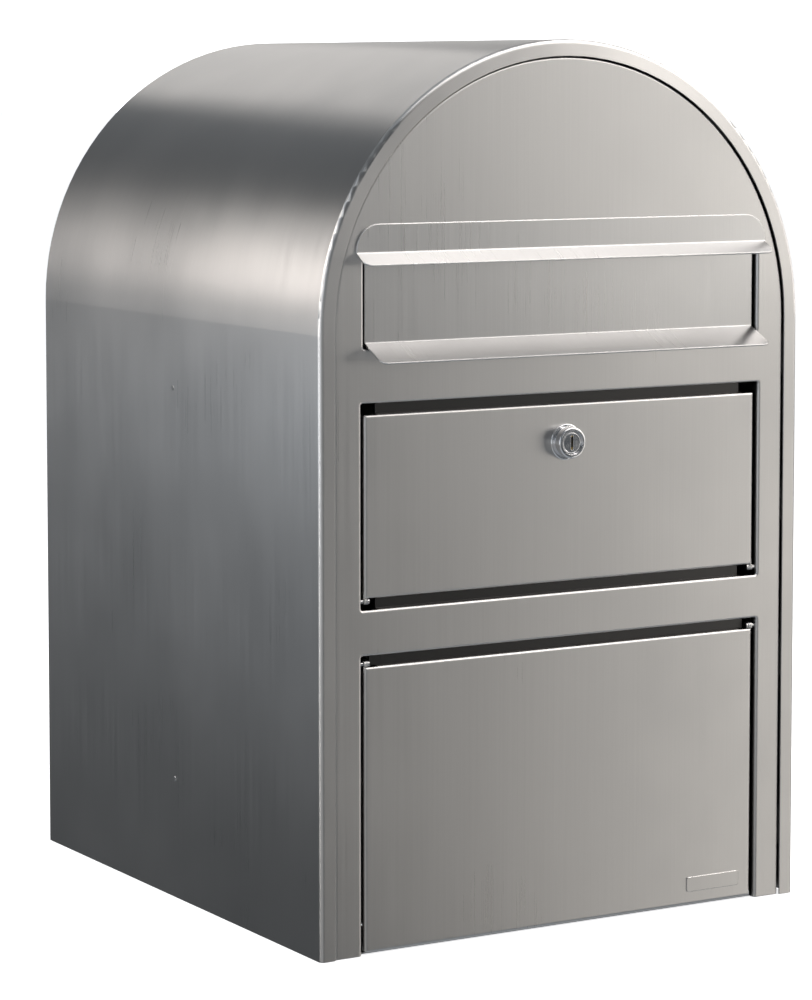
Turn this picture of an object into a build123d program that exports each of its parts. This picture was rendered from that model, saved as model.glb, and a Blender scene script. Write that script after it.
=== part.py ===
"""Round-top steel letterbox with a letter slot, a lockable letter door and a parcel door.

Units are millimetres. +Z is up, the front faces -Y and the origin is the centre of the footprint.
A "depth" is measured backwards from the front plane of the rim, so it is negative in front of it.
"""
from build123d import *
import math
import os

# ---- housing -------------------------------------------------------------------------------
WIDTH = 330.0
HEIGHT = 519.0
DEPTH = 362.0
SHEET = 1.0
ARCH_R = WIDTH / 2
SPRING_Z = HEIGHT - ARCH_R          # height where the straight sides meet the round top
FRONT_Y = -DEPTH / 2
INNER_R = ARCH_R - SHEET
RIM_WIDTH = 9.5
RIM_BEND = 2.5
BELOW = 5.0                         # how far a cutter reaches past the face that it opens
FLANGE = 12.0                       # height of the welding flanges on the inner sheets

# ---- front panel and its openings ----------------------------------------------------------
PANEL_R = ARCH_R - RIM_WIDTH - 0.4  # leaves a thin shadow gap inside the rim
PANEL_D = 1.5
PANEL_BACK = PANEL_D + SHEET
PANEL_FLANGE_D = 15.0
OPEN_X = 137.5                        # half width of the door openings
SLOT_X = 136.0                        # the same for the letter slot
RETURN_D = 7.0                      # depth that the edges of the openings are turned back to
EDGE_BEND = 1.6
OPEN_CORNER = 1.2
RELIEF_X = 126.0                    # the level flanges and stop lips end here, short of the corners
PARCEL_RELIEF_X = 130.0             # the same over the parcel door, just inside its hinge plates
STOP_D = RETURN_D - SHEET
LIP_OVERLAP = 4.0
SLOT_Z = (345.5, 400.0)
LETTER_OPEN_Z = (197.9, 314.7)
PARCEL_TOP_Z = 171.7

# ---- rain hood and letter flap -------------------------------------------------------------
HOOD_X = 141.0
HOOD_TOP_Z = 415.6
HOOD_BEND_Z = 399.4
HOOD_LIP = (10.0, 6.2)              # outward and downward reach
HOOD_TOP_CORNER = 14.5
HOOD_LIP_CORNER = 5.0
FLAP_X = 133.8
FLAP_D = 4.0
FLAP_BEND_Z = 348.5
FLAP_LIP = (19.5, 9.7)
FLAP_LIP_CORNER = 4.0
FLAP_PIN = (5.0, 396.5)             # depth and height of the hinge line
FLAP_ROLL_R = 2.3
FLAP_FLANGE_D = 7.0
LIP_BEND = 1.2

# ---- doors ---------------------------------------------------------------------------------
DOOR_X = 135.0
DOOR_D = 2.7
DOOR_BACK = DOOR_D + SHEET
DOOR_FLANGE_D = 5.7
DOOR_BEND = 1.8
LETTER_DOOR_Z = (204.0, 308.6)
PARCEL_DOOR_Z = (1.0, 165.5)
DOOR_PIN_D = 4.6
LETTER_PIN_Z = 202.5
PARCEL_PIN_Z = 167.0
PIN_R = 1.25
PIN_RUN = 0.05                      # radial running clearance
PIN_END_X = 141.2
EAR_R = 2.1
PIN_HEAD_R = 1.8
HINGE_PLATE = 1.5
HINGE_PLATE_REACH = 20.0
HINGE_PLATE_D = 8.0
CLIP_R = 2.0
CLIP = 0.8

# ---- cam lock ------------------------------------------------------------------------------
LOCK_Z = 286.0
LOCK_FLANGE_R = 10.7
LOCK_FLANGE_D = 1.2
BEZEL_R = 9.2
BEZEL_D = -5.3
RECESS_R = 7.0
RECESS = 1.4
BARREL_R = 8.0
BARREL_END = 17.0
PLUG_R = 6.0
PLUG_FACE = 0.5                     # the plug's face stands this far in front of the recess floor
PLUG_END = 17.5
SQUARE = 6.0
KEYWAY = (1.7, 8.4, 9.0)            # width, height and depth
WASHER_R = 12.0
WASHER = 0.8
NUT_FLATS = 21.0
NUT = 4.0
CAM = 2.0
CAM_HALF_WIDTH = 8.0
CAM_REACH = 32.0
CAM_SCREW_R = 2.0
CAM_HEAD_R = 4.5
CAM_HEAD = 2.5
WAFERS = 5
WAFER = (0.8, 4.0, 10.6)            # thickness, width and height
WAFER_PITCH = 2.2
KEEPER_D = (15.6, 16.8)
KEEPER_HALF = 24.0
KEEPER_SHEET = 1.2
KEEPER_LEG_Z = 316.6
KEEPER_LIP_Z = 303.0
KEEPER_FOOT = 12.0
RIVET_R = 1.6

# ---- inner sheets and fixings --------------------------------------------------------------
SHELF_Z = 184.0
SHELF_HALF_FRONT = 137.0            # the sheets are this narrow between the panel's legs
SHELF_WIDE_D = 17.0
STIFF_D = DEPTH / 2
STIFF_HALF = 10.0
STIFF_RISE = 7.0
STIFF_Z = (40.0, 340.0)
SIDE_RIVET_Z = (73.0, 311.0)
SIDE_RIVET_R = 1.25
SIDE_HEAD = (1.6, 0.4)              # radius and height of the head outside
SIDE_TAIL = (2.2, 0.8)              # the same for the closed end inside
BRACKET_SHEET = 1.2
BRACKET_HALF = 12.0
BRACKET_D = (5.0, 27.0)
BRACKET_Z = (40.0, 145.0, 240.0, 330.0)
BRACKET_ANGLES = (-45.0, 0.0, 45.0)
WALL_HOLES = (200.0, 300.0, 250.0)  # spacing across, spacing up and height of the centre
WALL_HOLE_R = 4.0
BASE_HOLES = (200.0, 240.0)         # spacing across and spacing front to back
BASE_HOLE_R = 4.5
PLATE_CENTRE = (107.0, 13.5)
PLATE_SIZE = (38.0, 9.0, 0.5)
PLATE_CORNER = 1.5

SIDES = (-1, 1)


# ---- helpers -------------------------------------------------------------------------------
def block(x, depth, z):
    """Box between the two values of each pair."""
    size = [hi - lo for lo, hi in (x, depth, z)]
    middle = [(hi + lo) / 2 for lo, hi in (x, depth, z)]
    return Pos(middle[0], middle[1] + FRONT_Y, middle[2]) * Box(*size)


def side_block(side, x, depth, z):
    """Box on the left (side -1) or right (side 1), with x measured outwards from the middle."""
    return block(sorted((side * x[0], side * x[1])), depth, z)


def rod_y(radius, depth, x=0.0, z=0.0):
    return Pos(x, sum(depth) / 2 + FRONT_Y, z) * Rot(90, 0, 0) * Cylinder(radius, depth[1] - depth[0])


def rod_x(radius, x, depth, z):
    return Pos(sum(x) / 2, depth + FRONT_Y, z) * Rot(0, 90, 0) * Cylinder(radius, x[1] - x[0])


def rod_z(radius, x, y, z):
    return Pos(x, y, sum(z) / 2) * Cylinder(radius, z[1] - z[0])


def prism(outline, depth):
    """Extrude an outline, drawn as seen from the front, between two depths."""
    plane = Plane(origin=(0, FRONT_Y + depth[1], 0), x_dir=(1, 0, 0), z_dir=(0, -1, 0))
    return extrude(plane * outline, amount=depth[1] - depth[0])


def arch(radius, bottom=0.0):
    straight = Pos(0, (SPRING_Z + bottom) / 2) * Rectangle(2 * radius, SPRING_Z - bottom)
    return straight + Pos(0, SPRING_Z) * Circle(radius)


def window(half_x, z, corner):
    """Rectangle seen from the front, with rounded corners."""
    return Pos(0, sum(z) / 2) * RectangleRounded(2 * half_x, z[1] - z[0], corner)


def edges_at(solid, depth, test):
    """Edges whose middle lies at one depth and passes a test of its x and z."""
    level = depth + FRONT_Y
    middles = [(edge, edge.center(CenterOf.BOUNDING_BOX)) for edge in solid.edges()]
    return [edge for edge, c in middles if abs(c.Y - level) < 0.01 and test(c.X, c.Z)]


def folded_lip(half_x, front, top_z, bend_z, reach):
    """Upright strip whose lower edge is folded outwards and down; reach is (out, down)."""
    out, down = reach
    length = math.hypot(out, down)
    across = (SHEET * down / length, -SHEET * out / length)
    tip = (front - out, bend_z - down)
    under = (tip[0] + across[0], tip[1] + across[1])
    back = front + SHEET
    rise = (back - under[0]) * down / out
    outline = [(front, top_z), (front, bend_z), tip, under, (back, under[1] + rise), (back, top_z)]
    face = make_face(Polyline([(d + FRONT_Y, z) for d, z in outline], close=True))
    strip = extrude(Plane.YZ * face, amount=half_x, both=True)
    along_x = strip.edges().filter_by(Axis.X)
    folds = [e for e in along_x if min(front, back) - 0.1 < e.center().Y - FRONT_Y < back + 0.1]
    folds = [e for e in folds if e.center().Z < bend_z + 0.1]
    return fillet(folds, LIP_BEND / 2)


def tip_corners(strip, half_x, limit):
    """The two short edges at the outer corners of a folded lip."""
    corners = [e for e in strip.edges() if abs(abs(e.center().X) - half_x) < 0.01]
    return [e for e in corners if e.center().Y - FRONT_Y < limit and e.length < 2 * SHEET]


def ring_z(radius, hole, x, depth, z):
    """Washer lying across the X axis."""
    return rod_x(radius, x, depth, z) - rod_x(hole, (x[0] - 1, x[1] + 1), depth, z)


# ---- housing parts -------------------------------------------------------------------------
def make_body_shell():
    outer = prism(arch(ARCH_R), (0, DEPTH))
    outer = fillet(edges_at(outer, 0, lambda x, z: z > 1), RIM_BEND)
    hollow = prism(arch(INNER_R, -BELOW), (SHEET, DEPTH + BELOW))
    hollow = fillet(edges_at(hollow, SHEET, lambda x, z: z > 1), RIM_BEND - SHEET)
    mouth = prism(arch(ARCH_R - RIM_WIDTH, -BELOW), (-BELOW, BELOW))
    shell = outer - hollow - mouth
    for z in SIDE_RIVET_Z:
        shell -= rod_x(SIDE_RIVET_R, (-WIDTH, WIDTH), STIFF_D, z)
    return shell


def make_back_panel():
    plate = prism(arch(INNER_R), (DEPTH - SHEET, DEPTH))
    edge = prism(arch(INNER_R) - arch(INNER_R - SHEET, -BELOW), (DEPTH - FLANGE, DEPTH))
    edge -= block((-WIDTH, WIDTH), (0, DEPTH - SHEET), (-BELOW, FLANGE + SHEET))
    panel = plate + edge
    across, up, centre = WALL_HOLES
    for x in (-across / 2, across / 2):
        for z in (centre - up / 2, centre + up / 2):
            panel -= rod_y(WALL_HOLE_R, (0, DEPTH + BELOW), x, z)
    return panel


def floor_sheet(z, flange_z):
    """Level sheet that fills the housing, narrower between the panel's legs, with side flanges."""
    end = DEPTH - SHEET
    inside = INNER_R - SHEET
    sheet = block((-inside, inside), (SHELF_WIDE_D, end), (z, z + SHEET))
    for side in SIDES:
        sheet += side_block(side, (inside, INNER_R), (SHELF_WIDE_D, end - FLANGE), flange_z)
    return sheet


def make_base_plate():
    plate = floor_sheet(0, (0, FLANGE))
    plate += block((-SHELF_HALF_FRONT, SHELF_HALF_FRONT), (STOP_D, SHELF_WIDE_D), (0, SHEET))
    plate += block((-RELIEF_X, RELIEF_X), (STOP_D, RETURN_D), (0, FLANGE))
    plate += block((-RELIEF_X, RELIEF_X), (DEPTH - 2 * SHEET, DEPTH - SHEET), (0, FLANGE))
    across, along = BASE_HOLES
    for x in (-across / 2, across / 2):
        for y in (-along / 2, along / 2):
            plate -= rod_z(BASE_HOLE_R, x, y, (-BELOW, BELOW))
    return plate


def make_divider_shelf():
    shelf = floor_sheet(SHELF_Z, (SHELF_Z + SHEET - FLANGE, SHELF_Z + SHEET))
    narrow = (-SHELF_HALF_FRONT, SHELF_HALF_FRONT)
    shelf += block(narrow, (PANEL_BACK, SHELF_WIDE_D), (SHELF_Z, SHELF_Z + SHEET))
    shelf += block(narrow, (PANEL_BACK, PANEL_BACK + SHEET), (SHELF_Z - FLANGE / 2, SHELF_Z + SHEET))
    rear = (DEPTH - 2 * SHEET, DEPTH - SHEET)
    shelf += block((-RELIEF_X, RELIEF_X), rear, (SHELF_Z - FLANGE, SHELF_Z + SHEET))
    room = STIFF_HALF + 1
    for side in SIDES:
        notch_x = (INNER_R - STIFF_RISE - 1, ARCH_R)
        shelf -= side_block(side, notch_x, (STIFF_D - room, STIFF_D + room), (SHELF_Z - 20, SHELF_Z + 20))
    return shelf


def make_front_panel():
    panel = prism(arch(PANEL_R), (PANEL_D, PANEL_BACK))
    panel += prism(arch(PANEL_R) - arch(PANEL_R - SHEET, -BELOW), (PANEL_D, PANEL_FLANGE_D))
    openings = ((SLOT_X, SLOT_Z), (OPEN_X, LETTER_OPEN_Z), (OPEN_X, (-2 * BELOW, PARCEL_TOP_Z)))
    for half, z in openings:
        collar_z = (max(z[0] - SHEET, 0), z[1] + SHEET)
        panel += block((-half - SHEET, half + SHEET), (PANEL_D, RETURN_D), collar_z)
    for half, z in openings:
        panel -= prism(window(half, z, OPEN_CORNER), (-BELOW, RETURN_D + BELOW))
    inner = edges_at(panel, PANEL_D, lambda x, z: abs(x) < OPEN_X + 0.1 and 1 < z < HOOD_TOP_Z)
    panel = fillet(inner, EDGE_BEND)
    outer = edges_at(panel, PANEL_D, lambda x, z: abs(x) > PANEL_R - 0.1 or z > HOOD_TOP_Z)
    panel = fillet(outer, EDGE_BEND)
    level_flanges = (
        (SLOT_Z[1], RELIEF_X, SLOT_X),
        (LETTER_OPEN_Z[0] - SHEET, RELIEF_X, OPEN_X),
        (LETTER_OPEN_Z[1], RELIEF_X, OPEN_X),
        (PARCEL_TOP_Z, PARCEL_RELIEF_X, OPEN_X),
    )
    for side in SIDES:
        for z, end_x, corner_x in level_flanges:
            relief_z = (z - 0.1, z + SHEET + 0.1)
            panel -= side_block(side, (end_x, corner_x), (PANEL_BACK, RETURN_D + 1), relief_z)
    lips = (
        (LETTER_OPEN_Z[0] - SHEET, LETTER_DOOR_Z[0] + LIP_OVERLAP, RELIEF_X),
        (LETTER_DOOR_Z[1] - LIP_OVERLAP, LETTER_OPEN_Z[1] + SHEET, RELIEF_X),
        (PARCEL_DOOR_Z[1] - LIP_OVERLAP, PARCEL_TOP_Z + SHEET, PARCEL_RELIEF_X),
    )
    for bottom, top, end_x in lips:
        panel += block((-end_x, end_x), (STOP_D, RETURN_D), (bottom, top))
    panel -= rod_x(PIN_R, (-OPEN_X - 3, OPEN_X + 3), *FLAP_PIN)
    for z in (LETTER_PIN_Z, PARCEL_PIN_Z):
        panel -= rod_x(PIN_R + PIN_RUN, (-OPEN_X - 3, OPEN_X + 3), DOOR_PIN_D, z)
    for x in (-KEEPER_HALF / 2, KEEPER_HALF / 2):
        panel -= rod_y(RIVET_R, (PANEL_D + 0.4, BELOW), x, KEEPER_LEG_Z + KEEPER_FOOT / 2 + 1)
    return panel


def make_panel_brackets():
    """Z-shaped clips that join the panel's outer flange to the inside of the shell."""
    front, back = BRACKET_D
    step = (PANEL_FLANGE_D - BRACKET_SHEET, PANEL_FLANGE_D)
    inner = (PANEL_R, PANEL_R + BRACKET_SHEET)
    outer = (INNER_R - BRACKET_SHEET, INNER_R)
    legs = ((inner, (front, step[1])), ((PANEL_R, INNER_R), step), (outer, (step[0], back)))
    clips = []
    for side in SIDES:
        for z in BRACKET_Z:
            span = (z - BRACKET_HALF, z + BRACKET_HALF)
            clips.append(sum((side_block(side, x, d, span) for x, d in legs[1:]),
                             side_block(side, *legs[0], span)))
    curved = [prism(Pos(0, SPRING_Z) * (Circle(r[1]) - Circle(r[0])), d) for r, d in legs]
    curved = curved[0] + curved[1] + curved[2]
    keep = block((-BRACKET_HALF, BRACKET_HALF), (0, DEPTH), (SPRING_Z, HEIGHT))
    top = curved & keep
    pivot = Pos(0, 0, SPRING_Z)
    for angle in BRACKET_ANGLES:
        clips.append(pivot * Rot(0, angle, 0) * Pos(0, 0, -SPRING_Z) * top)
    return Compound(children=clips)


def make_side_stiffeners():
    """Channels with their web against the side walls, which they keep from drumming."""
    depth = (STIFF_D - STIFF_HALF, STIFF_D + STIFF_HALF)
    channels = []
    for side in SIDES:
        channel = side_block(side, (INNER_R - SHEET, INNER_R), depth, STIFF_Z)
        for edge in ((depth[0], depth[0] + SHEET), (depth[1] - SHEET, depth[1])):
            channel += side_block(side, (INNER_R - STIFF_RISE, INNER_R), edge, STIFF_Z)
        for z in SIDE_RIVET_Z:
            channel -= rod_x(SIDE_RIVET_R, (-WIDTH, WIDTH), STIFF_D, z)
        channels.append(channel)
    return Compound(children=channels)


def make_side_rivets():
    rivets = []
    for side in SIDES:
        for z in SIDE_RIVET_Z:
            spans = (
                (SIDE_RIVET_R, (INNER_R - SHEET, ARCH_R)),
                (SIDE_HEAD[0], (ARCH_R, ARCH_R + SIDE_HEAD[1])),
                (SIDE_TAIL[0], (INNER_R - SHEET - SIDE_TAIL[1], INNER_R - SHEET)),
            )
            rods = [rod_x(r, sorted((side * x[0], side * x[1])), STIFF_D, z) for r, x in spans]
            rivets.append(rods[0] + rods[1] + rods[2])
    return Compound(children=rivets)


# ---- hood and letter flap ------------------------------------------------------------------
def make_rain_hood():
    front = PANEL_D - SHEET
    hood = folded_lip(HOOD_X, front, HOOD_TOP_Z, HOOD_BEND_Z, HOOD_LIP)
    hood = fillet(tip_corners(hood, HOOD_X, front - HOOD_LIP[0] + 1), HOOD_LIP_CORNER)
    top = [e for e in hood.edges().filter_by(Axis.Y) if e.center().Z > HOOD_TOP_Z - 0.1]
    return fillet(top, HOOD_TOP_CORNER)


def make_letter_flap():
    flap = folded_lip(FLAP_X, FLAP_D, FLAP_PIN[1], FLAP_BEND_Z, FLAP_LIP)
    flap = fillet(tip_corners(flap, FLAP_X, FLAP_D - FLAP_LIP[0] + 1), FLAP_LIP_CORNER)
    depth, height = FLAP_PIN
    flap += rod_x(FLAP_ROLL_R, (-FLAP_X, FLAP_X), depth, height)
    for side in SIDES:
        edge_z = (FLAP_BEND_Z + LIP_BEND, height)
        flap += side_block(side, (FLAP_X - SHEET, FLAP_X), (FLAP_D, FLAP_FLANGE_D), edge_z)
    return flap - rod_x(PIN_R + PIN_RUN, (-FLAP_X - 1, FLAP_X + 1), depth, height)


def make_flap_hinge_pin():
    return rod_x(PIN_R, (-PIN_END_X, PIN_END_X), *FLAP_PIN)


def make_pin_clips(start_x, depth, z):
    spans = [sorted((side * start_x, side * (start_x + CLIP))) for side in SIDES]
    return Compound(children=[ring_z(CLIP_R, PIN_R, x, depth, z) for x in spans])


# ---- doors ---------------------------------------------------------------------------------
def door_ear(side, x, pin_z, towards):
    """Rounded ear that carries a hinge pin just outside the door's hinge edge."""
    end_z = pin_z + towards * HINGE_PLATE_REACH / 4
    bar = side_block(side, x, (DOOR_PIN_D - EAR_R, DOOR_PIN_D + EAR_R), sorted((pin_z, end_z)))
    return bar + rod_x(EAR_R, sorted((side * x[0], side * x[1])), DOOR_PIN_D, pin_z)


def make_door(z, pin_z, towards):
    """Folded pan; towards is the vertical direction from the hinge pins to the door's middle."""
    door = block((-DOOR_X, DOOR_X), (DOOR_D, DOOR_FLANGE_D), z)
    door = fillet(edges_at(door, DOOR_D, lambda x, z_mid: True), DOOR_BEND)
    inside = (z[0] + SHEET, z[1] - SHEET)
    door -= block((SHEET - DOOR_X, DOOR_X - SHEET), (DOOR_BACK, DOOR_FLANGE_D + 1), inside)
    skin_end = DOOR_BACK - 0.2
    for side in SIDES:
        for edge in z:
            relief_z = (edge - SHEET - 0.1, edge + SHEET + 0.1)
            door -= side_block(side, (RELIEF_X, DOOR_X + 1), (skin_end, DOOR_FLANGE_D + 1), relief_z)
    hole = rod_x(PIN_R, (-WIDTH, WIDTH), DOOR_PIN_D, pin_z)
    for side in SIDES:
        ear = door_ear(side, (DOOR_X - SHEET, DOOR_X), pin_z, towards)
        door += ear - block((-WIDTH, WIDTH), (0, DOOR_D + DOOR_BEND / 2), z)
    return door - hole


def make_hinge_plates(pin_z, towards):
    x = (DOOR_X - SHEET - HINGE_PLATE, DOOR_X - SHEET)
    plates = []
    for side in SIDES:
        strip_z = sorted((pin_z + towards * (EAR_R + 1), pin_z + towards * HINGE_PLATE_REACH))
        plate = side_block(side, x, (DOOR_BACK, HINGE_PLATE_D), strip_z)
        ear = door_ear(side, x, pin_z, towards)
        skin_z = sorted((pin_z + towards * 0.9, pin_z + towards * WIDTH))
        plate += ear - block((-WIDTH, WIDTH), (0, DOOR_BACK), skin_z)
        plates.append(plate - rod_x(PIN_R, (-WIDTH, WIDTH), DOOR_PIN_D, pin_z))
    return Compound(children=plates)


def make_door_pins(pin_z):
    head_x = DOOR_X - SHEET - HINGE_PLATE
    pins = []
    for side in SIDES:
        shank = rod_x(PIN_R, sorted((side * head_x, side * PIN_END_X)), DOOR_PIN_D, pin_z)
        head = rod_x(PIN_HEAD_R, sorted((side * (head_x - 1), side * head_x)), DOOR_PIN_D, pin_z)
        pins.append(shank + head)
    return Compound(children=pins)


def make_letter_door():
    door = make_door(LETTER_DOOR_Z, LETTER_PIN_Z, 1)
    return door - rod_y(BARREL_R, (0, BELOW), 0, LOCK_Z)


def make_parcel_door():
    return make_door(PARCEL_DOOR_Z, PARCEL_PIN_Z, -1)


def make_blank_plate():
    x, z = PLATE_CENTRE
    width, height, thick = PLATE_SIZE
    outline = Pos(x, z) * RectangleRounded(width, height, PLATE_CORNER)
    return prism(outline, (DOOR_D - thick, DOOR_D))


# ---- cam lock ------------------------------------------------------------------------------
def make_lock_housing():
    bezel = rod_y(BEZEL_R, (BEZEL_D, LOCK_FLANGE_D), 0, LOCK_Z)
    bezel = fillet(edges_at(bezel, BEZEL_D, lambda x, z: True), 1.2)
    flange = rod_y(LOCK_FLANGE_R, (LOCK_FLANGE_D, DOOR_D), 0, LOCK_Z)
    flange = fillet(edges_at(flange, LOCK_FLANGE_D, lambda x, z: True), 0.9)
    housing = bezel + flange + rod_y(BARREL_R, (DOOR_D, BARREL_END), 0, LOCK_Z)
    recess = rod_y(RECESS_R, (BEZEL_D - 1, BEZEL_D + RECESS), 0, LOCK_Z)
    return housing - recess - rod_y(PLUG_R + PIN_RUN, (BEZEL_D - 1, BARREL_END + 1), 0, LOCK_Z)


def wafer_depths():
    first = BEZEL_D + RECESS + KEYWAY[2] / 4
    return [first + i * WAFER_PITCH for i in range(WAFERS)]


def make_lock_plug():
    face = BEZEL_D + RECESS - PLUG_FACE
    plug = rod_y(PLUG_R, (face, PLUG_END), 0, LOCK_Z)
    plug = fillet(edges_at(plug, face, lambda x, z: True), 0.4)
    width, height, deep = KEYWAY
    keyway_z = (LOCK_Z - height / 2, LOCK_Z + height / 2)
    plug -= block((-width / 2, width / 2), (face - 1, face + deep), keyway_z)
    thick, wide, tall = WAFER
    for depth in wafer_depths():
        slot_z = (LOCK_Z - tall / 2, LOCK_Z + tall / 2)
        plug -= block((-wide / 2, wide / 2), (depth, depth + thick), slot_z)
    half = SQUARE / 2
    plug += block((-half, half), (PLUG_END, PLUG_END + CAM), (LOCK_Z - half, LOCK_Z + half))
    return plug - rod_y(CAM_SCREW_R, (PLUG_END - 5, PLUG_END + BELOW), 0, LOCK_Z)


def make_lock_wafers():
    """Flat tumblers, each with a window that the key passes through."""
    thick, wide, tall = WAFER
    width = KEYWAY[0]
    wafers = []
    for depth in wafer_depths():
        span = (depth, depth + thick)
        wafer = block((-wide / 2, wide / 2), span, (LOCK_Z - tall / 2, LOCK_Z + tall / 2))
        wafers.append(wafer - block((-width / 2, width / 2), span, (LOCK_Z - 3, LOCK_Z + 3)))
    return Compound(children=wafers)


def make_lock_washer():
    span = (DOOR_BACK, DOOR_BACK + WASHER)
    return rod_y(WASHER_R, span, 0, LOCK_Z) - rod_y(BARREL_R, (0, BELOW * 2), 0, LOCK_Z)


def make_lock_nut():
    start = DOOR_BACK + WASHER
    hexagon = Pos(0, LOCK_Z) * RegularPolygon(NUT_FLATS / 2, 6, major_radius=False)
    return prism(hexagon, (start, start + NUT)) - rod_y(BARREL_R, (0, BARREL_END), 0, LOCK_Z)


def make_lock_cam():
    reach = CAM_REACH - CAM_HALF_WIDTH / 2
    span = (PLUG_END, PLUG_END + CAM)
    cam = block((0, reach), span, (LOCK_Z - CAM_HALF_WIDTH, LOCK_Z + CAM_HALF_WIDTH))
    cam = fillet([e for e in cam.edges().filter_by(Axis.Y) if e.center().X > 1], CAM_HALF_WIDTH / 2)
    cam += rod_y(CAM_HALF_WIDTH, span, 0, LOCK_Z)
    half = SQUARE / 2
    return cam - block((-half, half), (PLUG_END - 1, PLUG_END + CAM + 1), (LOCK_Z - half, LOCK_Z + half))


def make_lock_cam_screw():
    start = PLUG_END + CAM
    head = rod_y(CAM_HEAD_R, (start, start + CAM_HEAD), 0, LOCK_Z)
    head = fillet(edges_at(head, start + CAM_HEAD, lambda x, z: True), 0.8)
    slot = block((-CAM_HEAD_R, CAM_HEAD_R), (start + CAM_HEAD - 1, start + BELOW), (LOCK_Z - 0.5, LOCK_Z + 0.5))
    return head + rod_y(CAM_SCREW_R, (PLUG_END - 5, start), 0, LOCK_Z) - slot


def keeper_rivet_places():
    return [(side * KEEPER_HALF / 2, KEEPER_LEG_Z + KEEPER_FOOT / 2 + 1) for side in SIDES]


def make_lock_keeper():
    """Folded catch behind the rail: the turned cam stands behind its hanging lip."""
    x = (-KEEPER_HALF, KEEPER_HALF)
    leg_z = (KEEPER_LEG_Z, KEEPER_LEG_Z + KEEPER_SHEET)
    keeper = block(x, (PANEL_BACK, KEEPER_D[1]), leg_z)
    keeper += block(x, (PANEL_BACK, PANEL_BACK + KEEPER_SHEET), (KEEPER_LEG_Z, KEEPER_LEG_Z + KEEPER_FOOT))
    keeper += block(x, KEEPER_D, (KEEPER_LIP_Z, leg_z[1]))
    for x_rivet, z in keeper_rivet_places():
        keeper -= rod_y(RIVET_R, (0, BELOW * 2), x_rivet, z)
    return keeper


def make_keeper_studs():
    """Weld studs, blind in the panel, with heads behind the keeper."""
    behind = PANEL_BACK + KEEPER_SHEET
    studs = []
    for x, z in keeper_rivet_places():
        studs.append(rod_y(RIVET_R, (PANEL_D + 0.4, behind), x, z) + rod_y(2 * RIVET_R, (behind, behind + 1), x, z))
    return Compound(children=studs)


# ---- write the sub-parts -------------------------------------------------------------------
PARTS = {
    "body_shell": make_body_shell,
    "back_panel": make_back_panel,
    "base_plate": make_base_plate,
    "divider_shelf": make_divider_shelf,
    "front_panel": make_front_panel,
    "panel_brackets": make_panel_brackets,
    "side_stiffeners": make_side_stiffeners,
    "side_rivets": make_side_rivets,
    "rain_hood": make_rain_hood,
    "letter_flap": make_letter_flap,
    "flap_hinge_pin": make_flap_hinge_pin,
    "flap_pin_clips": lambda: make_pin_clips(SLOT_X + SHEET, *FLAP_PIN),
    "letter_door": make_letter_door,
    "letter_door_hinge_plates": lambda: make_hinge_plates(LETTER_PIN_Z, 1),
    "letter_door_pins": lambda: make_door_pins(LETTER_PIN_Z),
    "letter_door_pin_clips": lambda: make_pin_clips(OPEN_X + SHEET + 0.3, DOOR_PIN_D, LETTER_PIN_Z),
    "parcel_door": make_parcel_door,
    "parcel_door_hinge_plates": lambda: make_hinge_plates(PARCEL_PIN_Z, -1),
    "parcel_door_pins": lambda: make_door_pins(PARCEL_PIN_Z),
    "parcel_door_pin_clips": lambda: make_pin_clips(OPEN_X + SHEET + 0.3, DOOR_PIN_D, PARCEL_PIN_Z),
    "blank_plate": make_blank_plate,
    "lock_housing": make_lock_housing,
    "lock_plug": make_lock_plug,
    "lock_wafers": make_lock_wafers,
    "lock_washer": make_lock_washer,
    "lock_nut": make_lock_nut,
    "lock_cam": make_lock_cam,
    "lock_cam_screw": make_lock_cam_screw,
    "lock_keeper": make_lock_keeper,
    "keeper_studs": make_keeper_studs,
}

os.makedirs("parts", exist_ok=True)
for node, make in PARTS.items():
    export_step(make(), f"parts/{node}.step")
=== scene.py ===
"""Looks for the round-top stainless letterbox: brushed sheet, chrome lock, studio light and camera.

The CAD nodes keep their shapes, and no pieces are added. This script gives each node a procedural metal
and sets the stage. Lengths are metres in the frame's own axes.
"""

import math

import bpy
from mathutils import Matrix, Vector


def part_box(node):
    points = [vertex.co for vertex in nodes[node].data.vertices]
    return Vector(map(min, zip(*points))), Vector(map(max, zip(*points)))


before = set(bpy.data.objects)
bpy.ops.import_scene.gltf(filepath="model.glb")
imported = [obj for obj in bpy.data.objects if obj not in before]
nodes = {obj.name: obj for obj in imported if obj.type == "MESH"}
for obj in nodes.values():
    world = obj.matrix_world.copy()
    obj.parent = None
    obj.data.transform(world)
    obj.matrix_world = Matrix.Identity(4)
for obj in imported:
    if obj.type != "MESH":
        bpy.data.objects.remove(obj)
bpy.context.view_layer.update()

SHELL_LOW, SHELL_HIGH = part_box("body_shell")
ARCH_INSET = 0.0004       # the grain is laid out on an arch this much inside the shell's own
ARCH_RADIUS = (SHELL_HIGH.x - SHELL_LOW.x) / 2 - ARCH_INSET
ARCH_Z = SHELL_HIGH.z - ARCH_RADIUS

# Scale of the brushed grain, per metre: FINE across the grain, LONG along it.
FINE = 1500.0
LONG = 9.0


# ---------------------------------------------------------------- node helpers

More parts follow.
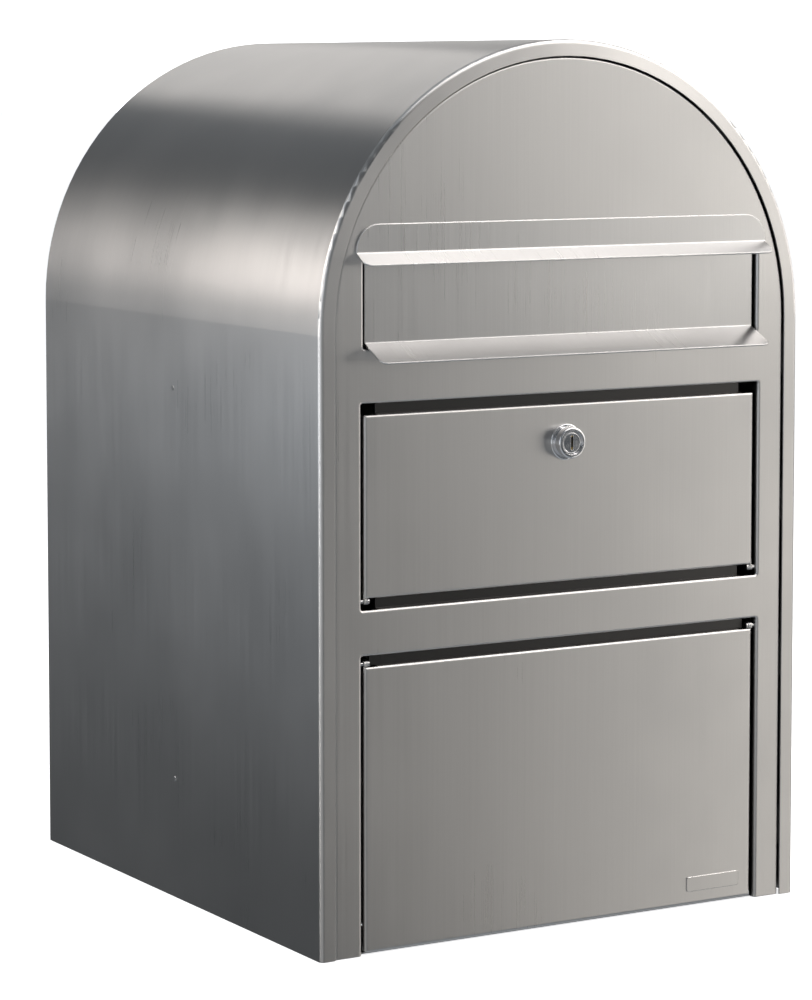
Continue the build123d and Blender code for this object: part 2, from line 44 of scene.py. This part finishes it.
class Graph:
    """A short way to write shader nodes: g.add(type, inputs..., property=value) returns the node."""

    def __init__(self, name):
        self.material = bpy.data.materials.new(name)
        self.material.use_nodes = True
        self.tree = self.material.node_tree
        self.shader = self.tree.nodes["Principled BSDF"]

    def add(self, kind, inputs=None, **properties):
        node = self.tree.nodes.new("ShaderNode" + kind)
        for key, value in properties.items():
            setattr(node, key, value)
        for key, value in (inputs or {}).items():
            self.set(node, key, value)
        return node

    def set(self, node, key, value):
        if isinstance(value, bpy.types.NodeSocket):
            self.tree.links.new(value, node.inputs[key])
        else:
            node.inputs[key].default_value = value

    def math(self, operation, a, b=0.0, clamp=False):
        return self.add("Math", {0: a, 1: b}, operation=operation, use_clamp=clamp).outputs[0]

    def mix(self, factor, a, b):
        """Mixes two colours."""
        node = self.add("Mix", {0: factor, 6: a, 7: b}, data_type="RGBA")
        return node.outputs[2]

    def ramp(self, value, low, high, to_low=0.0, to_high=1.0):
        node = self.add("MapRange", {"Value": value, "From Min": low, "From Max": high,
                                     "To Min": to_low, "To Max": to_high})
        return node.outputs[0]

    def noise(self, vector, scale, detail=2.0, roughness=0.5):
        return self.add("TexNoise", {"Vector": vector, "Scale": scale, "Detail": detail,
                                     "Roughness": roughness}).outputs["Fac"]

    def scaled(self, vector, scale):
        return self.add("VectorMath", {0: vector, 1: scale}, operation="MULTIPLY").outputs[0]


def tone(colour, gain):
    return tuple(min(1.0, c * gain) for c in colour[:3]) + (1.0,)


def edge_mask(g, radius):
    """0 on the flats and 1 on the edges, which handling has polished and where the colour is lifted as a
    painted highlight; also the softened normal.
    """
    bevel = g.add("Bevel", {"Radius": radius}, samples=4)
    normal = g.add("NewGeometry").outputs["Normal"]
    dot = g.add("VectorMath", {0: bevel.outputs[0], 1: normal}, operation="DOT_PRODUCT")
    return g.ramp(dot.outputs["Value"], 0.995, 0.80), bevel.outputs[0]


def wrap_vector(g, position):
    """Coordinates of the shell's sheet before it was rolled: x is depth, y the length round the arch."""
    x, y, z = (g.add("SeparateXYZ", {0: position}).outputs[i] for i in range(3))
    above = g.math("SUBTRACT", z, ARCH_Z)
    angle = g.math("ARCTAN2", g.math("MAXIMUM", above, 0.0), g.math("ABSOLUTE", x))
    along = g.math("MULTIPLY_ADD", angle, ARCH_RADIUS)
    g.tree.links.new(g.math("MINIMUM", above, 0.0), along.node.inputs[2])
    return g.add("CombineXYZ", {0: y, 1: along, 2: g.math("MULTIPLY", x, 0.02)}).outputs[0]


def shell_tangent(g, position):
    """Across the grain: along the depth on the wall, and across the rim on its front."""
    x, _, z = (g.add("SeparateXYZ", {0: position}).outputs[i] for i in range(3))
    rise = g.math("MAXIMUM", g.math("SUBTRACT", z, ARCH_Z), 0.0)
    sideways, upwards = g.math("MULTIPLY", x, 2.0), g.math("MULTIPLY", rise, 2.0)
    return g.add("CombineXYZ", {0: sideways, 1: 1.0, 2: upwards}).outputs[0]


def brushed(name, colour, grain, roughness=0.3, anisotropy=0.75, streak=0.022, edge=0.0007,
            across=None, painted_gap_shade=None):
    """Brushed sheet. grain is the noise scale per metre on x, y and z: FINE across it, LONG along it.

    The last argument is a pair of depths (y): the sheet goes from its own colour to near black between
    them.
    This is painted shade, for edges turned back into a shadow gap, and is not what bare stainless would
    show there.
    """
    g = Graph(name)
    position = g.add("TexCoord").outputs["Object"]
    if grain == "wrapped":
        sheet, scale = wrap_vector(g, position), (FINE, LONG, FINE)
        tangent = shell_tangent(g, position)
    else:
        sheet, scale = position, grain
        tangent = g.add("CombineXYZ", {0: across[0], 1: across[1], 2: across[2]}).outputs[0]
    lines = g.noise(g.scaled(sheet, scale), 1.0, 2.0, 0.5)
    bands = g.noise(g.scaled(sheet, tuple(0.25 * s for s in scale)), 1.0, 2.0)
    scratches = g.noise(g.scaled(sheet, tuple(0.5 * s for s in scale)), 1.0, 1.0)
    smudge = g.noise(position, 7.0, 3.0, 0.6)
    edge_wear_and_sheen, soft_normal = edge_mask(g, edge)

    grainy = g.math("ADD", g.math("MULTIPLY", lines, 0.85), g.math("MULTIPLY", bands, 0.15))
    dark, light = tone(colour, 1 - streak), tone(colour, 1 + streak)
    base = g.mix(g.ramp(grainy, 0.3, 0.7), dark, light)
    smudged = tone((colour[0], colour[1] * 1.005, colour[2] * 1.01), 0.9)
    base = g.mix(g.ramp(smudge, 0.35, 0.75, 0.0, 0.35), base, smudged)
    deep = g.ramp(scratches, 0.76, 0.84, 0.0, 0.06)
    base = g.mix(deep, base, tone(colour, 1.15))
    # Painted highlight: the colour on the edges is lifted, standing in for the light that rounded edges
    # catch; the roughness drop below is the polish.
    base = g.mix(g.math("MULTIPLY", edge_wear_and_sheen, 0.9), base, tone(colour, 1.45))
    # Painted shade: between the two depths the panel's turned-back edges go near black, as the shadow gap
    # round the doors would.
    if painted_gap_shade:
        depth = g.add("SeparateXYZ", {0: position}).outputs[1]
        base = g.mix(g.ramp(depth, *painted_gap_shade), base, tone(colour, 0.1))
    g.set(g.shader, "Base Color", base)

    rough = g.ramp(grainy, 0.3, 0.7, roughness - streak, roughness + streak)
    rough = g.math("ADD", rough, g.ramp(smudge, 0.3, 0.7, -0.02, 0.04))
    rough = g.math("SUBTRACT", rough, g.math("MULTIPLY", edge_wear_and_sheen, 0.08), clamp=True)
    g.set(g.shader, "Roughness", rough)
    g.set(g.shader, "Metallic", 1.0)
    g.set(g.shader, "Anisotropic", anisotropy)
    g.set(g.shader, "Tangent", tangent)
    bump = g.add("Bump", {"Strength": 0.04, "Distance": 0.00004, "Height": grainy, "Normal": soft_normal})
    g.set(g.shader, "Normal", bump.outputs[0])
    return g.material


def turned(name, colour, axis, roughness=0.25, edge=0.0003):
    """A pin, rivet or clip: fine rings round its axis."""
    g = Graph(name)
    position = g.add("TexCoord").outputs["Object"]
    scale = [400.0, 400.0, 400.0]
    scale[axis] = 5000.0
    rings = g.noise(g.scaled(position, tuple(scale)), 1.0, 2.0)
    smudge = g.noise(position, 60.0, 2.0)
    edge_wear_and_sheen, soft_normal = edge_mask(g, edge)
    base = g.mix(g.ramp(rings, 0.3, 0.7), tone(colour, 0.86), tone(colour, 1.1))
    # Painted highlight: the colour on the edges is lifted, standing in for the light they catch.
    base = g.mix(g.math("MULTIPLY", edge_wear_and_sheen, 0.6), base, tone(colour, 1.35))
    g.set(g.shader, "Base Color", base)
    rough = g.math("ADD", g.ramp(rings, 0.3, 0.7, roughness - 0.05, roughness + 0.05),
                   g.ramp(smudge, 0.3, 0.7, -0.03, 0.06))
    g.set(g.shader, "Roughness", rough)
    g.set(g.shader, "Metallic", 1.0)
    bump = g.add("Bump", {"Strength": 0.15, "Distance": 0.00003, "Height": rings, "Normal": soft_normal})
    g.set(g.shader, "Normal", bump.outputs[0])
    return g.material


def chrome(name, colour):
    """Polished plate: almost a mirror, with hairline scratches and a faint haze."""
    g = Graph(name)
    position = g.add("TexCoord").outputs["Object"]
    haze = g.noise(position, 180.0, 3.0, 0.6)
    hairs = g.noise(g.scaled(position, (3200.0, 900.0, 400.0)), 1.0, 1.0)
    edge_wear_and_sheen, soft_normal = edge_mask(g, 0.0003)
    base = g.mix(g.ramp(haze, 0.3, 0.7), tone(colour, 0.93), tone(colour, 1.05))
    # Painted highlight: the colour on the edges is lifted, standing in for the light they catch.
    base = g.mix(g.math("MULTIPLY", edge_wear_and_sheen, 0.5), base, tone(colour, 1.2))
    g.set(g.shader, "Base Color", base)
    rough = g.math("ADD", g.ramp(haze, 0.3, 0.7, 0.07, 0.13), g.ramp(hairs, 0.66, 0.74, 0.0, 0.08))
    g.set(g.shader, "Roughness", rough)
    g.set(g.shader, "Metallic", 1.0)
    bump = g.add("Bump", {"Strength": 0.05, "Distance": 0.00003, "Height": hairs, "Normal": soft_normal})
    g.set(g.shader, "Normal", bump.outputs[0])
    return g.material


def plated(name, colour, roughness=0.42):
    """Satin plate on a pressing or casting: a fine grain all over, darker in random patches."""
    g = Graph(name)
    position = g.add("TexCoord").outputs["Object"]
    grain = g.noise(position, 1800.0, 3.0, 0.6)
    patches = g.noise(position, 90.0, 3.0, 0.6)
    edge_wear_and_sheen, soft_normal = edge_mask(g, 0.0003)
    base = g.mix(g.ramp(grain, 0.3, 0.7), tone(colour, 0.85), tone(colour, 1.08))
    base = g.mix(g.ramp(patches, 0.4, 0.7, 0.0, 0.4), base, tone(colour, 0.78))
    # Painted highlight: the colour on the edges is lifted, standing in for the light they catch.
    base = g.mix(g.math("MULTIPLY", edge_wear_and_sheen, 0.7), base, tone(colour, 1.35))
    g.set(g.shader, "Base Color", base)
    rough = g.math("ADD", g.ramp(grain, 0.3, 0.7, roughness - 0.06, roughness + 0.06),
                   g.ramp(patches, 0.3, 0.7, -0.05, 0.05))
    g.set(g.shader, "Roughness", rough)
    g.set(g.shader, "Metallic", 1.0)
    bump = g.add("Bump", {"Strength": 0.2, "Distance": 0.00005, "Height": grain, "Normal": soft_normal})
    g.set(g.shader, "Normal", bump.outputs[0])
    return g.material


# ---------------------------------------------------------------- metals

OUTER = (0.62, 0.61, 0.60)
LIP = (0.60, 0.595, 0.59)
INNER = (0.45, 0.455, 0.46)
PIN = (0.56, 0.56, 0.56)
CHROME = (0.78, 0.78, 0.79)
ZINC = (0.55, 0.55, 0.53)
BRASS = (0.72, 0.56, 0.28)
UPRIGHT = (FINE, FINE, LONG)      # standing sheet: grain runs up
SLOPED = (FINE, LONG, LONG)       # lips bent along x: grain runs over the bend
FLAT = (FINE, LONG, FINE)         # lying sheet: grain runs back
SHADOW_GAP = (-0.1776, -0.1762)   # y where the painted shade on the panel's turned-back edges starts and finishes
ACROSS_X = (1.0, 0.2, 0.0)        # tangents, across the grain
ACROSS_Y = (0.2, 1.0, 0.0)

brushed_shell = brushed("brushed_shell", OUTER, "wrapped", edge=0.0002)
brushed_front = brushed("brushed_front", OUTER, UPRIGHT, across=ACROSS_X)
brushed_lip = brushed("brushed_lip", LIP, SLOPED, streak=0.03, edge=0.001, across=ACROSS_X)
brushed_panel = brushed("brushed_panel", OUTER, UPRIGHT, across=ACROSS_X, painted_gap_shade=SHADOW_GAP)
mill_upright = brushed("mill_upright", INNER, UPRIGHT, 0.4, 0.4, 0.07, across=ACROSS_X)
mill_flat = brushed("mill_flat", INNER, FLAT, 0.4, 0.4, 0.07, across=ACROSS_X)
mill_side = brushed("mill_side", INNER, UPRIGHT, 0.4, 0.4, 0.07, across=ACROSS_Y)
pin_metal = turned("drawn_pin", PIN, 0)
rivet_metal = turned("rivet_head", PIN, 0, 0.32)
stud_metal = turned("keeper_stud", PIN, 1, 0.3)
chrome_metal = chrome("lock_chrome", CHROME)
zinc_metal = plated("lock_zinc", ZINC)
brass_metal = plated("wafer_brass", BRASS, 0.32)

METALS = {
    "body_shell": brushed_shell,
    "back_panel": brushed_front,
    "base_plate": mill_flat,
    "divider_shelf": mill_flat,
    "front_panel": brushed_panel,
    "panel_brackets": mill_side,
    "side_stiffeners": mill_side,
    "side_rivets": rivet_metal,
    "rain_hood": brushed_lip,
    "letter_flap": brushed_lip,
    "flap_hinge_pin": pin_metal,
    "flap_pin_clips": pin_metal,
    "letter_door": brushed_front,
    "letter_door_hinge_plates": mill_upright,
    "letter_door_pins": pin_metal,
    "letter_door_pin_clips": pin_metal,
    "parcel_door": brushed_front,
    "parcel_door_hinge_plates": mill_upright,
    "parcel_door_pins": pin_metal,
    "parcel_door_pin_clips": pin_metal,
    "blank_plate": brushed_front,
    "lock_housing": chrome_metal,
    "lock_plug": chrome_metal,
    "lock_wafers": brass_metal,
    "lock_washer": zinc_metal,
    "lock_nut": zinc_metal,
    "lock_cam": zinc_metal,
    "lock_cam_screw": zinc_metal,
    "lock_keeper": mill_upright,
    "keeper_studs": stud_metal,
}
for name, node in nodes.items():
    node.data.materials.clear()
    node.data.materials.append(METALS[name])


# ---------------------------------------------------------------- stage, light and camera

def plain(name, colour, emission=0.0):
    g = Graph(name)
    g.set(g.shader, "Base Color", (*colour, 1.0))
    g.set(g.shader, "Roughness", 0.9)
    if emission:
        g.set(g.shader, "Emission Color", (*colour, 1.0))
        g.set(g.shader, "Emission Strength", emission)
    return g.material


FLOOR_RADIUS = 40.0
DOME_RADIUS = 39.0


def make_floor():
    """A pale floor. Glossy rays pass it, so the sheet mirrors the studio and not the floor."""
    bpy.ops.mesh.primitive_circle_add(vertices=96, radius=FLOOR_RADIUS, fill_type="NGON",
                                      location=(0, 0, -0.0005))
    floor = bpy.context.object
    floor.name = "floor"
    floor.data.materials.append(plain("pale_floor", (0.93, 0.93, 0.93), 0.85))
    floor.visible_glossy = False


def make_backdrop():
    """A white dome far behind everything, seen only by the camera."""
    bpy.ops.mesh.primitive_uv_sphere_add(segments=48, ring_count=24, radius=DOME_RADIUS,
                                         location=(0, 0, 0))
    dome = bpy.context.object
    dome.name = "backdrop"
    dome.data.materials.append(plain("white_backdrop", (1.0, 1.0, 1.0), 1.2))
    dome.visible_glossy = dome.visible_diffuse = dome.visible_shadow = False


def softbox(name, place, aim, size, power, colour):
    """A rectangular area light at place, facing aim. size is (width, height)."""
    data = bpy.data.lights.new(name, "AREA")
    data.shape = "RECTANGLE"
    data.size, data.size_y = size
    data.energy = power
    data.color = colour
    lamp = bpy.data.objects.new(name, data)
    bpy.context.scene.collection.objects.link(lamp)
    lamp.location = place
    lamp.rotation_euler = (Vector(aim) - Vector(place)).to_track_quat("-Z", "Y").to_euler()
    lamp.visible_camera = False
    return lamp


GLOW = 0.14      # times 4 at the lobe's middle


def make_world():
    """Soft studio light by height: dim below the horizon, brighter above it."""
    world = bpy.data.worlds.new("studio")
    bpy.context.scene.world = world
    world.use_nodes = True
    tree = world.node_tree
    position = tree.nodes.new("ShaderNodeTexCoord")
    split = tree.nodes.new("ShaderNodeSeparateXYZ")
    ramp = tree.nodes.new("ShaderNodeValToRGB")
    shift = tree.nodes.new("ShaderNodeMapRange")
    background = tree.nodes["Background"]
    tree.links.new(position.outputs["Generated"], split.inputs[0])
    tree.links.new(split.outputs["Z"], shift.inputs["Value"])
    shift.inputs["From Min"].default_value = -1.0
    tree.links.new(shift.outputs[0], ramp.inputs[0])
    tree.links.new(ramp.outputs[0], background.inputs["Color"])
    stops = [(0.0, 0.45), (0.22, 0.28), (0.32, 0.06), (0.36, 0.05), (0.44, 0.10),
             (0.5, 0.17), (0.58, 0.20), (0.66, 0.07), (0.80, 0.15), (1.0, 0.5)]
    ramp.color_ramp.elements[0].position = stops[0][0]
    ramp.color_ramp.elements[1].position = stops[-1][0]
    for place, _ in stops[1:-1]:
        ramp.color_ramp.elements.new(place)
    for element, (_, level) in zip(ramp.color_ramp.elements, stops):
        element.color = (level * 0.91, level * 0.98, level * 1.05, 1.0)
    background.inputs["Strength"].default_value = 1.0

    # A low glow behind the right and in front of the left: the back and the left wall mirror it
    # in views from behind.
    def calc(operation, a, b):
        node = tree.nodes.new("ShaderNodeMath")
        node.operation = operation
        for socket, value in zip(node.inputs, (a, b)):
            if isinstance(value, bpy.types.NodeSocket):
                tree.links.new(value, socket)
            else:
                socket.default_value = value
        return node.outputs[0]

    across = calc("ADD", split.outputs["X"], split.outputs["Y"])
    lobe = calc("POWER", calc("ABSOLUTE", across, 0.0), 4.0)
    low = tree.nodes.new("ShaderNodeMapRange")
    for socket, value in zip(low.inputs[1:5], (-0.05, 0.12, GLOW, 0.0)):
        socket.default_value = value
    tree.links.new(split.outputs["Z"], low.inputs[0])
    glow = tree.nodes.new("ShaderNodeBackground")
    tree.links.new(calc("MULTIPLY", lobe, low.outputs[0]), glow.inputs["Strength"])
    both = tree.nodes.new("ShaderNodeAddShader")
    tree.links.new(background.outputs[0], both.inputs[0])
    tree.links.new(glow.outputs[0], both.inputs[1])
    tree.links.new(both.outputs[0], tree.nodes["World Output"].inputs["Surface"])


def heading(azimuth, elevation):
    a, e = math.radians(azimuth), math.radians(elevation)
    return Vector((math.sin(a) * math.cos(e), math.cos(a) * math.cos(e), math.sin(e)))


def aimed(azimuth, elevation, distance, start):
    """The point at distance from start. Azimuth 0 is straight behind the box, 90 to its right."""
    return Vector(start) + distance * heading(azimuth, elevation)


def make_lights():
    """Softboxes: what the brushed faces mirror. level is how bright each one looks, white being 1."""
    front, wall = Vector((0.0, -0.18, 0.25)), Vector((-0.165, -0.10, 0.40))
    roof = Vector((0.0, 0.0, 0.5))
    warm, cool, white = (1.0, 0.955, 0.895), (0.88, 0.96, 1.05), (1.0, 0.96, 0.92)
    boxes = [
        # name, place, aim, (width, height), level, colour
        ("rear_high", aimed(13, 30, 2.2, roof), roof, (0.95, 0.5), 1.35, white),
        ("rear_low", aimed(24, 15, 2.2, roof), roof, (1.3, 0.55), 0.6, white),
        ("overhead", aimed(126, 48, 1.7, front), front, (2.1, 1.5), 2.05, (1.0, 0.955, 0.925)),
        ("edge_strip", aimed(150, 72, 1.6, front), front, (1.6, 0.35), 2.6, white),
        ("front_fill", aimed(170, 14, 2.0, front), front, (0.5, 0.6), 0.6, white),
        ("right_card", aimed(88, 8, 2.0, roof), front, (1.5, 1.2), 1.5, white),
        ("left_front", aimed(-116, 5, 2.0, roof), front, (0.6, 1.5), 1.2, cool),
        ("left_edge", aimed(-92, -4, 2.0, roof), front, (0.30, 1.6), 3.5, white),
    ]
    # Upright banks of panels, each one (lowest edge, highest edge, level, colour).
    left_bank = (
        (-0.40, -0.05, 0.04, cool), (-0.05, 0.16, 0.32, cool), (0.16, 0.32, 1.15, cool),
        (0.32, 0.46, 1.9, white), (0.46, 0.73, 4.6, (1.0, 0.93, 0.88)), (0.73, 0.92, 3.0, white),
        (0.92, 1.02, 1.2, white),
    )
    front_bank = ((-0.40, 0.30, 1.18, warm), (0.30, 0.60, 1.7, warm), (0.60, 1.05, 2.7, warm))
    banks = (
        ("left", (-1.02, 0.28), wall, 0.8, left_bank),
        ("front", (0.86, -0.81), front, 0.7, front_bank),
    )
    for bank, (x, y), aim, width, panels in banks:
        for i, (low, high, level, colour) in enumerate(panels):
            middle = (low + high) / 2
            size = (width, high - low)
            target = (aim.x, aim.y, middle)
            boxes.append((f"{bank}_bank_{i}", (x, y, middle), target, size, level, colour))
    for name, place, aim, size, level, colour in boxes:
        softbox(name, place, aim, size, level * math.pi * size[0] * size[1], colour)


CAMERA_PLACE = (-1.0915, -1.8384, 0.5012)
CAMERA_YAW = 30.65        # degrees to the right of straight ahead
CAMERA_PITCH = 4.66       # degrees down


def make_camera():
    data = bpy.data.cameras.new("camera")
    camera = bpy.data.objects.new("camera", data)
    bpy.context.scene.collection.objects.link(camera)
    camera.location = CAMERA_PLACE
    camera.rotation_euler = heading(CAMERA_YAW, -CAMERA_PITCH).to_track_quat("-Z", "Y").to_euler()
    data.lens = 123.6
    data.sensor_width = 36.0
    data.shift_y = -0.15
    data.clip_end = 200.0
    bpy.context.scene.camera = camera


make_floor()
make_backdrop()
make_world()
make_lights()
make_camera()

bpy.context.scene.view_settings.view_transform = "Standard"
bpy.context.scene.view_settings.look = "None"
